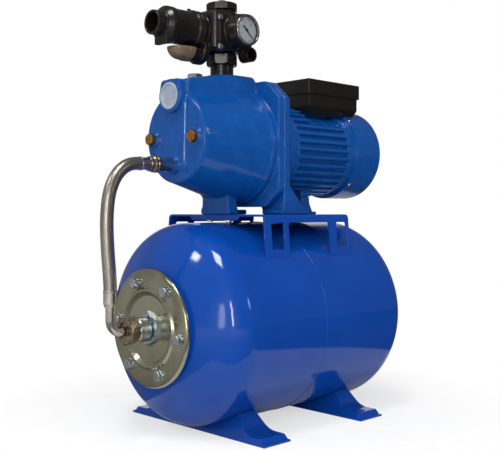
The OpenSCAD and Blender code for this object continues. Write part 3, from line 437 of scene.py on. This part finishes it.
def tank_shell(node, paint, tip, inward, opening):
    """One half of the tank, from the opening in its dished end to the welded seam. Its tip is a
    station, and inward is 1 or -1, the way from there to the seam. The inner skin is the outer
    one moved in and along by a little less than the wall, which no view shows."""
    outside = [(r, tip + inward * depth) for r, depth in head_curve(opening)]
    inside = [(r - 0.9 * TANK_WALL, x + 0.6 * inward * TANK_WALL) for r, x in outside]
    outside.append((TANK_RADIUS, SEAM))
    inside.append((TANK_RADIUS - TANK_WALL, SEAM))
    name = node + "_finished"
    show(name, revolved(name, outside + inside[::-1]), paint, [node])


def weld_seam(paint):
    """Girth weld under the paint: a low bead in short overlapping ripples, which wanders a
    little from side to side."""
    around, across, ripples = 900, 14, 150
    foot, flank = TANK_RADIUS - 0.8, 75
    work = bmesh.new()
    rings = []
    for k in range(around):
        turn = 2 * math.pi * k / around
        bead = 1.2 + 0.3 * (0.5 + 0.5 * math.cos(ripples * turn))
        middle = SEAM + 0.25 * math.sin(11 * turn) + 0.15 * math.sin(29 * turn + 1)
        ring = []
        for i in range(across + 1):
            lean = math.radians(2 * flank * i / across - flank)
            ring.append(work.verts.new(around_tank(
                middle + bead * math.sin(lean), foot + bead * math.cos(lean), turn)))
        rings.append(ring)
    join_rings(work, rings)
    mesh = to_mesh("weld_seam", work)
    smooth_faces(mesh, 50)
    show("weld_seam", mesh, paint, ["tank_weld_bead"])


def flange_plate(plate):
    """Pressed flange: a raised ring around the hub, and a rim turned back toward the tank."""
    sheet, bore, rim = 2.5, 13.3, 80.2
    face, crest, hub = -4.0, -7.0, -2.0
    outline = rounded([
        (bore, hub, 0), (44.3, hub, 3), (50, crest, 1.5), (52.5, crest, 1.2), (55.5, face, 2),
        (rim, face, 4.4), (rim, face + 4.6, 0), (rim - 2, face + 4.6, 0),
        (rim - 2, face + sheet, 2), (56.5, face + sheet, 2), (53.2, crest + sheet, 0.5),
        (50.8, crest + sheet, 0.5), (45.1, hub + sheet, 2), (bore, hub + sheet, 0)], steps=10)
    mesh = revolved("flange_plate", outline)
    show("flange_plate", mesh, plate, ["tank_flange"])


# The hose

# Station and Z, from the pump down to the elbow
HOSE_ROUTE = [
    (-17, 367), (-25, 366.5), (-33, 365), (-41, 361.5), (-48, 356.5), (-54, 350),
    (-59, 342), (-63, 333), (-66, 322), (-68, 308), (-69, 290), (-68.5, 268),
    (-67, 245), (-65, 222), (-64, 203)]


def hose_line(steps=8):
    """Points close together on a smooth curve through the hose's route. A point before the
    route and one after it make it leave both ends level and upright."""
    ends = [(2 * HOSE_ROUTE[0][0] - HOSE_ROUTE[1][0], HOSE_ROUTE[0][1])] + HOSE_ROUTE
    ends.append((HOSE_ROUTE[-1][0], 2 * HOSE_ROUTE[-1][1] - HOSE_ROUTE[-2][1]))
    line = []
    for i in range(1, len(ends) - 2):
        a, b, c, d = (Vector(p) for p in ends[i - 1:i + 3])
        for k in range(steps):
            t = k / steps
            line.append(0.5 * ((2 * b) + (c - a) * t + (2 * a - 5 * b + 4 * c - d) * t * t
                               + (3 * b - a - 3 * c + d) * t ** 3))
    line.append(Vector(HOSE_ROUTE[-1]))
    return line


def add_hose(braid):
    """Braided hose swept along its route, with its unrolled surface kept for the braid: one
    unit each way is one bundle of wires."""
    line = hose_line()
    radius, sides, bundles, bundle_mm = 8.65, 48, 12, 4.6
    work = bmesh.new()
    unrolled = work.loops.layers.uv.new("hose")
    rings, run = [], [0.0]
    for i, point in enumerate(line):
        ahead = (line[min(i + 1, len(line) - 1)] - line[max(i - 1, 0)]).normalized()
        side = Vector((-ahead.y, ahead.x))
        if i:
            run.append(run[-1] + (point - line[i - 1]).length)
        ring = []
        for k in range(sides):
            turn = 2 * math.pi * k / sides
            flat = point + side * radius * math.cos(turn)
            ring.append(work.verts.new(place(flat.x, radius * math.sin(turn), flat.y)))
        rings.append(ring)
    for i in range(len(line) - 1):
        for k in range(sides):
            j = (k + 1) % sides
            face = work.faces.new([rings[i][k], rings[i][j], rings[i + 1][j], rings[i + 1][k]])
            for loop, (u, v) in zip(face.loops, [(k, i), (k + 1, i), (k + 1, i + 1), (k, i + 1)]):
                loop[unrolled].uv = (u / sides * bundles, run[v] / bundle_mm)
    work.faces.new(rings[0])
    work.faces.new(rings[-1][::-1])
    mesh = to_mesh("hose_braid", work)
    smooth_faces(mesh, 50)
    hose = show("hose_braid", mesh, braid, ["braided_hose"])


# The gauge

GAUGE_STATION, GAUGE_Z = 130.0, 555.5
DIAL_Y, WINDOW_Y = -50.75, -53.5
INK_Y = DIAL_Y - 0.06
SCALE_START, SCALE_SWEEP = -42, 270


def on_gauge(radius, turn, y):
    """A point at a radius from the gauge's axis and an angle about it."""
    return place(GAUGE_STATION + radius * math.cos(turn), y, GAUGE_Z + radius * math.sin(turn))


def gauge_ring(work, radius, y):
    """A ring of points about the gauge's axis."""
    return [work.verts.new(on_gauge(radius, math.radians(a), y)) for a in range(0, 360, 4)]


def on_scale(share):
    """The angle of a share of the dial's scale, which runs clockwise from the lower right."""
    return math.radians(SCALE_START - SCALE_SWEEP * share)


def dial_disc(paper):
    """White plate of the dial."""
    work = bmesh.new()
    centre = work.verts.new(on_gauge(0, 0, DIAL_Y))
    rim = gauge_ring(work, 18.5, DIAL_Y)
    for i in range(len(rim)):
        work.faces.new([centre, rim[(i + 1) % len(rim)], rim[i]])
    show("dial_disc", to_mesh("dial_disc", work), paper)


def dial_liner(ink_and_shade):
    """A black ring inside the case, from the dial up to the window: painted shade on the case's
    inner wall.
    """
    work = bmesh.new()
    join_rings(work, [gauge_ring(work, 18.65, y) for y in (DIAL_Y, WINDOW_Y)], closed=False)
    mesh = to_mesh("dial_liner", work, outward=False)
    smooth_faces(mesh, 32)
    show("dial_liner", mesh, ink_and_shade)


def dial_marks(ink_and_shade):
    """Printed scale: 50 divisions, each fifth one longer and bolder, and plain numbers."""
    divisions, mark_end, number_radius, number_size = 50, 16.4, 10.2, 0.004
    work = bmesh.new()
    for i in range(divisions + 1):
        mark_start, half_width = (14.9, 0.18) if i % 5 else (13.2, 0.32)
        turn = on_scale(i / divisions)
        out = Vector((math.cos(turn), math.sin(turn)))
        across = Vector((-math.sin(turn), math.cos(turn))) * half_width
        corners = [out * mark_start + across, out * mark_start - across,
                   out * mark_end - across, out * mark_end + across]
        work.faces.new([work.verts.new(place(GAUGE_STATION + c.x, INK_Y, GAUGE_Z + c.y))
                        for c in corners])
    for number in range(0, 11, 2):
        letters = bpy.data.curves.new("dial_number", "FONT")
        letters.body = str(number)
        letters.size = number_size
        letters.align_x = letters.align_y = "CENTER"
        flat = worked_out(add_object("dial_number", letters), "dial_number")
        middle = on_gauge(number_radius, on_scale(number / 10), INK_Y)
        upright = Matrix.Rotation(math.radians(90), 4, "X")
        flat.transform(Matrix.Translation(middle) @ upright)
        work.from_mesh(flat)
    mesh = to_mesh("dial_marks", work, outward=False)
    show("dial_marks", mesh, ink_and_shade)


# Floor, backdrop and lamps

# The lamps look at the tank's upper front, on the camera's side, from this many metres.
LAMP_AIM = place(40, -90, 220)
LAMP_DISTANCE = 2.6


def add_floor(name, height, corners, front_reflected_shade, left_reflected_light):
    """A plain pale floor. In gloss alone it shows a painted reflection of the room, with painted
    shade at the front that lightens toward the left, so a sheet of white paper under the set ends
    as a line in the tank's gloss. Half a metre from the set, the camera sees plain white."""
    work = bmesh.new()
    work.faces.new([work.verts.new(place(x, y, height)) for x, y in corners])
    floor = add_object(name, to_mesh(name, work))
    material, tree, where = start_material(name)
    floor.data.materials.append(material)
    sight = add_node(tree, "LightPath")
    fleck_mm = 33.33
    fleck = add_node(tree, "TexNoise", {"Vector": where, "Scale": 1000 / fleck_mm, "Detail": 4.0})
    pale = add_node(tree, "ValToRGB", {"Fac": fleck.outputs["Fac"]})
    ramp_stops(pale, [(0.3, "#ECECEB"), (0.7, "#F2F2F1")])
    # Painted reflection, seen in gloss alone: painted shade at the front, lighter toward the left
    left = add_node(tree, "VectorMath", {0: where, 1: (-0.985, -0.17, 0.0)},
                    operation="DOT_PRODUCT")
    drift = add_node(tree, "MapRange", {
        "Value": left.outputs["Value"], "From Min": 0.0, "From Max": 1.1})
    tint = add_node(tree, "Mix", {
        "Factor": drift.outputs["Result"], COLOUR_A: linear(front_reflected_shade),
        COLOUR_B: linear(left_reflected_light)}, data_type="RGBA")
    colour = add_node(tree, "Mix", {
        "Factor": sight.outputs["Is Glossy Ray"], COLOUR_A: pale.outputs["Color"],
        COLOUR_B: tint.outputs[MIXED_COLOUR]}, data_type="RGBA")
    paper = add_node(tree, "BsdfDiffuse", {
        "Color": colour.outputs[MIXED_COLOUR], "Roughness": 0.5})
    white = add_node(tree, "Emission", {"Color": (1, 1, 1, 1), "Strength": 1.0})
    far = add_node(tree, "VectorMath", {0: where}, operation="LENGTH")
    fade = add_node(tree, "MapRange", {
        "Value": far.outputs["Value"], "From Min": 0.2, "From Max": 0.5, "To Min": 0.6},
        interpolation_type="SMOOTHSTEP")
    shown = add_node(tree, "Math", {
        0: fade.outputs["Result"], 1: sight.outputs["Is Camera Ray"]}, operation="MULTIPLY")
    mix = add_node(tree, "MixShader", {
        "Fac": shown.outputs[0], 1: paper.outputs["BSDF"], 2: white.outputs["Emission"]})
    end_material(tree, mix)


def add_world():
    """White to the camera and through clear pieces. In reflections the backdrop is white too and
    the room in front of it dark, and an even grey gives the soft light."""
    world = bpy.data.worlds.new("studio")
    bpy.context.scene.world = world
    world.use_nodes = True
    tree = world.node_tree
    tree.nodes.clear()
    sight = add_node(tree, "LightPath")
    direction = add_node(tree, "TexCoord").outputs["Generated"]
    # Each glow of the room: the way it faces, the cosines from that way between which it
    # comes up, and its strength before and after
    left_wall = (-0.94, 0.34, 0.0), -0.2, 0.5, 0.12, 0.28
    left_window = (-0.866, -0.5, 0.0), 0.78, 0.97, 0.0, 0.6
    backdrop = (0.70, 0.71, 0.0), 0.85, 0.97, 0.0, 1.0
    room = 0.0
    for facing, start, end, dim, bright in (left_wall, left_window, backdrop):
        side = add_node(tree, "VectorMath", {0: direction, 1: facing}, operation="DOT_PRODUCT")
        glow = add_node(tree, "MapRange", {
            "Value": side.outputs["Value"], "From Min": start, "From Max": end,
            "To Min": dim, "To Max": bright}, interpolation_type="SMOOTHSTEP")
        room = add_node(tree, "Math", {0: glow.outputs["Result"], 1: room},
                        operation="MAXIMUM").outputs[0]
    seen = add_node(tree, "Background", {"Color": (1, 1, 1, 1), "Strength": room})
    soft = add_node(tree, "Background", {"Color": linear("#A8A8AC"), "Strength": 1.0})
    white = add_node(tree, "Background", {"Color": (1, 1, 1, 1), "Strength": 1.0})
    gloss = add_node(tree, "MixShader", {
        "Fac": sight.outputs["Is Glossy Ray"], 1: soft.outputs["Background"],
        2: seen.outputs["Background"]})
    clear = add_node(tree, "Math", {
        0: sight.outputs["Is Camera Ray"], 1: sight.outputs["Is Transmission Ray"]},
        operation="MAXIMUM")
    mix = add_node(tree, "MixShader", {
        "Fac": clear.outputs[0], 1: gloss.outputs["Shader"], 2: white.outputs["Background"]})
    add_node(tree, "OutputWorld", {"Surface": mix.outputs["Shader"]})


def add_lamp(name, azimuth, elevation, size, power, mirrored=True):
    """A rectangular lamp that looks at the set from an angle about Z and a height angle, with
    its size in metres and its power in watts. A lamp that isn't mirrored lights the set but
    leaves no patch in its gloss."""
    light = bpy.data.lights.new(name, "AREA")
    light.shape = "RECTANGLE"
    light.size, light.size_y = size
    light.energy = power
    turn, rise = math.radians(azimuth), math.radians(elevation)
    away = Vector((math.cos(turn) * math.cos(rise), math.sin(turn) * math.cos(rise),
                   math.sin(rise)))
    lamp = add_object(name, light)
    lamp.location = LAMP_AIM + away * LAMP_DISTANCE
    lamp.rotation_euler = (-away).to_track_quat("-Z", "Y").to_euler()
    lamp.visible_glossy = mirrored


def add_lamps():
    """Five lamps that show as windows and strips in the gloss, and two for soft light alone."""
    add_lamp("rear_window", 155, 39.5, (0.36, 0.22), 5)
    add_lamp("roof_window", -152, 67, (0.6, 0.85), 27)
    add_lamp("side_strip", -141, 9, (0.24, 0.95), 11)
    add_lamp("far_strip", -166, 2, (0.2, 0.9), 2.4)
    add_lamp("right_slit", -74, 20, (0.05, 0.5), 1.6)
    add_lamp("left_soft_box", -150, 28, (1.4, 1.4), 18, mirrored=False)
    add_lamp("front_soft_box", -95, 35, (1.4, 1.4), 13, mirrored=False)


# Build

bpy.context.scene.view_settings.view_transform = "Standard"
add_camera()
add_hose(wire_braid())

tank_paint = powder_coat()
cast_paint = casting_enamel()
# Black with a warm cast, and soft glints along its edges
black_plastic = moulded_plastic("black_glass_filled_polypropylene", "#110D0A", "#1B1612", 0.24)
# Deeper black with a duller, broader shine
box_plastic = moulded_plastic("black_moulded_abs", "#0E0C0A", "#171411", 0.36)
# Brown and polished, with the room's windows clear in it
smoked = moulded_plastic("smoked_brown_acrylic", "#4E4034", "#75634F", 0.16)
# Cool grey, soft and waxy
cap_plastic = moulded_plastic("light_grey_polyethylene", "#8E99A7", "#A3ADBA", 0.42)
# Even dark grey, dull from its glass fibres
dark_plastic = moulded_plastic("dark_grey_polyphenylene", "#2A2A2D", "#333336", 0.45)
# Warm milky white with a silky shine
white_plastic = moulded_plastic("white_polyamide", "#D8D5CB", "#E6E4DC", 0.4)
# Matt black, a little dusty
rubber = moulded_plastic("black_epdm_rubber", "#1B1919", "#262323", 0.6)
# Straw coloured film on a clear mirror, drifting over the whole plate
flange_zinc = plated_metal("yellow_passivated_zinc", "#AFAE94", "#C2C1A8", 0.2, patch_mm=34)
# Cool bright mirror, a little blue, broken up in small patches
bolt_zinc = plated_metal("clear_passivated_zinc", "#AEB9C4", "#D5DDE4", 0.2, patch_mm=6)
# The clearest mirror of all, a little warm
chrome = plated_metal("bright_nickel_chrome", "#BFB6B0", "#DCD8D4", 0.09, patch_mm=9)
# Brown where hands and tools wore the nickel through, grey between
nut_nickel = plated_metal("worn_nickel_on_brass", "#8E7860", "#B8AB98", 0.24, patch_mm=7)
# Orange yellow, with the blur of fine turning
brass = plated_metal("turned_brass", "#C07B36", "#DDA158", 0.3, patch_mm=5)
# Plain grey with an even blur
steel = plated_metal("ground_steel", "#8E9092", "#B4B6B8", 0.25)
# Dark and dull, from the edges of many sheets
core_steel = plated_metal("stacked_electrical_steel", "#5E6062", "#77797B", 0.42)
# Red brown, in strands as thick as its wire
copper = plated_metal("enamelled_copper_wire", "#8A4A20", "#A8602C", 0.35, patch_mm=4,
                      grain_mm=1.4)
# Dull yellow brown, as it came from the mould
bronze = plated_metal("cast_bronze", "#8F6C36", "#B08A4C", 0.4)
# Light grey with bright narrow bands around the rim
bezel_steel = plated_metal("pressed_stainless_bezel", "#A9A7A2", "#C6C4BF", 0.18)
# Flat cool white
dial_paper = moulded_plastic("white_enamelled_dial", "#F0EFF2", "#F6F5F7", 0.5)
# Flat black: the dial's print and the needle, and the painted shade inside the gauge case
ink_and_shade = moulded_plastic("black_ink_and_painted_shade", "#15151A", "#1D1D22", 0.4)
window = clear_window()

tank_shell("tank_front_shell", tank_paint, tip=FRONT_TIP, inward=1, opening=76.0)
tank_shell("tank_rear_shell", tank_paint, tip=REAR_TIP, inward=-1, opening=4.3)
weld_seam(tank_paint)
flange_plate(flange_zinc)
for sheet in ("front_foot", "rear_foot", "pump_bracket"):
    eased(sheet, tank_paint, edge_mm=0.7)
eased("flange_bolts", bolt_zinc, edge_mm=0.35)

cast("pump_body", cast_paint, voxel_mm=1.1, passes=4)
cast("motor_bracket", cast_paint, voxel_mm=1.1, passes=4)
cast("motor_housing", cast_paint, voxel_mm=1.0, passes=3)
cast("motor_support", cast_paint, voxel_mm=0.8, passes=5, keep=1.0)
eased("fan_cover", cast_paint, edge_mm=0)
eased("rear_shield", cast_paint, edge_mm=0.8)
cast("terminal_box", box_plastic, voxel_mm=0.8, passes=5)
eased("terminal_lid", box_plastic, edge_mm=0.7)
for fitting in ("discharge_nipple", "swivel_nut", "top_plug"):
    eased(fitting, black_plastic, edge_mm=0.5)
for moulding in ("manifold_body", "outlet_union"):
    cast(moulding, black_plastic, voxel_mm=0.8, passes=5)
eased("switch_dome", smoked, edge_mm=0.4)
eased("suction_cap", cap_plastic, edge_mm=0.3)
eased("brass_plugs", brass, edge_mm=0.35)
eased("gauge_case", bezel_steel, edge_mm=0)
dial_disc(dial_paper)
# Painted shade: a black ring inside the gauge case
dial_liner(ink_and_shade)
dial_marks(ink_and_shade)

# CAD solids that keep their shape and get a finish
looks = {
    tank_paint: ["tank_mouth_ring"],
    rubber: ["tank_bladder"],
    black_plastic: ["air_valve_cap"],
    brass: ["air_valve"],
    bolt_zinc: ["tank_nipple", "flange_screws", "pump_foot_bolts", "pump_foot_nuts",
                "fan_cover_screws", "lid_screws", "manifold_screws"],
    nut_nickel: ["elbow_nut", "hose_nut"],
    chrome: ["hose_elbow", "lower_ferrule", "upper_ferrule", "pump_nipple"],
    dark_plastic: ["ejector", "diffuser", "shaft_seal"],
    bronze: ["impeller"],
    steel: ["priming_plug", "motor_shaft", "bearing_outer_races", "bearing_balls",
            "bearing_inner_races"],
    core_steel: ["rotor_core", "stator_core"],
    copper: ["stator_windings"],
    white_plastic: ["cooling_fan", "run_capacitor", "check_valve"],
    ink_and_shade: ["gauge_needle"],
    window: ["gauge_lens"],
}
for material, nodes in looks.items():
    for node in nodes:
        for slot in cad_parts[node].material_slots:
            slot.material = material

# Pale to the camera and in the soft light; in gloss a painted reflection, with painted shade in
# front and lighter to the left
add_floor("table_top_with_painted_reflection", -1,
          [(-4000, -4000), (4000, -4000), (4000, 9000), (-4000, 9000)], "#4A4846", "#C8C6C4")
add_floor("white_paper_sheet", -0.4,
          [(201, -447), (2060, 1225), (1630, 1550), (-229, -124)], "#DCDCDB", "#DCDCDB")
add_world()
add_lamps()

bpy.context.view_layer.update()
